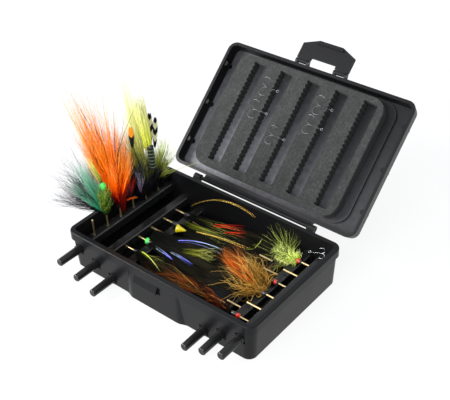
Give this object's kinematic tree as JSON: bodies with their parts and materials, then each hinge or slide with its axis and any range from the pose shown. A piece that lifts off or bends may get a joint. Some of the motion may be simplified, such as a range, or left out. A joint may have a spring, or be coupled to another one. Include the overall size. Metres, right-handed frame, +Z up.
{
  "type": "fly_box",
  "caption": "Black moulded salmon-fly box with six turning brass-pin bars in the tray, slotted foam in the hinged lid, a swing latch and a load of tube flies",
  "frame": {"origin": "middle of the tray's underside, on the surface it stands on", "axes": "+X along the hinge line to the right seen from the front, +Y from the front wall (handles, catch) to the hinge, +Z up"},
  "size_m": [0.1829, 0.2286, 0.1251],
  "materials": {
    "case": "satin",
    "bar": "gloss",
    "brass": "polished",
    "steel": "polished",
    "foam": "matte",
    "hair_teal": "matte",
    "hair_orange": "matte",
    "hair_red": "matte",
    "hair_yellow": "matte",
    "hair_lime": "matte",
    "hair_olive": "matte",
    "hair_black": "matte",
    "hair_gold": "matte"
  },
  "bodies": {
    "case": {"base_tray": "case", "hinge_pin": "steel"},
    "lid": {"lid": "case", "foam_insert": "foam", "latch_pins": "steel", "treble_hooks": "steel"},
    "latch": {"latch": "case"},
    "bar_1": {"pin_bar_1": "bar", "brass_pins_1": "brass", "fly_teal": "hair_teal", "fly_orange": "hair_orange", "fly_red": "hair_red", "fly_yellow": "hair_yellow", "fly_lime": "hair_lime"},
    "bar_2": {"pin_bar_2": "bar", "brass_pins_2": "brass", "fly_green_strand": "hair_olive", "fly_green_cone": "hair_black", "fly_yellow_cone": "hair_olive", "fly_gold_strand": "hair_gold"},
    "bar_3": {"pin_bar_3": "bar", "brass_pins_3": "brass"},
    "bar_4": {"pin_bar_4": "bar", "brass_pins_4": "brass"},
    "bar_5": {"pin_bar_5": "bar", "brass_pins_5": "brass"},
    "bar_6": {"pin_bar_6": "bar", "brass_pins_6": "brass", "fly_bucktail": "hair_red", "fly_golden": "hair_gold", "fly_brown": "hair_olive", "fly_hackle": "hair_lime"}
  },
  "joints": [
    {"name": "lid_hinge", "type": "hinge", "parent": "case", "child": "lid", "pos_m": [0, 0.058, 0.02905], "axis": [-1, 0, 0], "range_deg": [-137, 0]},
    {"name": "bar_1_turn", "type": "hinge", "parent": "case", "child": "bar_1", "pos_m": [-0.073, 0, 0.0184], "axis": [0, -1, 0], "range_deg": [-90, 0], "deforming": ["fly_teal", "fly_orange", "fly_red", "fly_yellow", "fly_lime"]},
    {"name": "bar_2_turn", "type": "hinge", "parent": "case", "child": "bar_2", "pos_m": [-0.0573, 0, 0.0124], "axis": [0, -1, 0], "range_deg": [0, 90], "deforming": ["fly_green_strand", "fly_green_cone", "fly_yellow_cone", "fly_gold_strand"]},
    {"name": "bar_3_turn", "type": "hinge", "parent": "case", "child": "bar_3", "pos_m": [-0.0421, 0, 0.0066], "axis": [0, -1, 0], "range_deg": [0, 90]},
    {"name": "bar_4_turn", "type": "hinge", "parent": "case", "child": "bar_4", "pos_m": [0.0421, 0, 0.0066], "axis": [0, 1, 0], "range_deg": [0, 90]},
    {"name": "bar_5_turn", "type": "hinge", "parent": "case", "child": "bar_5", "pos_m": [0.0573, 0, 0.0124], "axis": [0, 1, 0], "range_deg": [0, 90]},
    {"name": "bar_6_turn", "type": "hinge", "parent": "case", "child": "bar_6", "pos_m": [0.073, 0, 0.0184], "axis": [0, 1, 0], "range_deg": [0, 90], "deforming": ["fly_bucktail", "fly_golden", "fly_brown", "fly_hackle"]},
    {"name": "latch_hinge", "type": "hinge", "parent": "lid", "child": "latch", "pos_m": [0, 0.14369, 0.10329], "axis": [-1, 0, 0], "range_deg": [-90, 0]}
  ],
  "couplings": [
    {"joint": "bar_1_turn", "follows": "lid_hinge", "ratio": 0.65693}
  ]
}
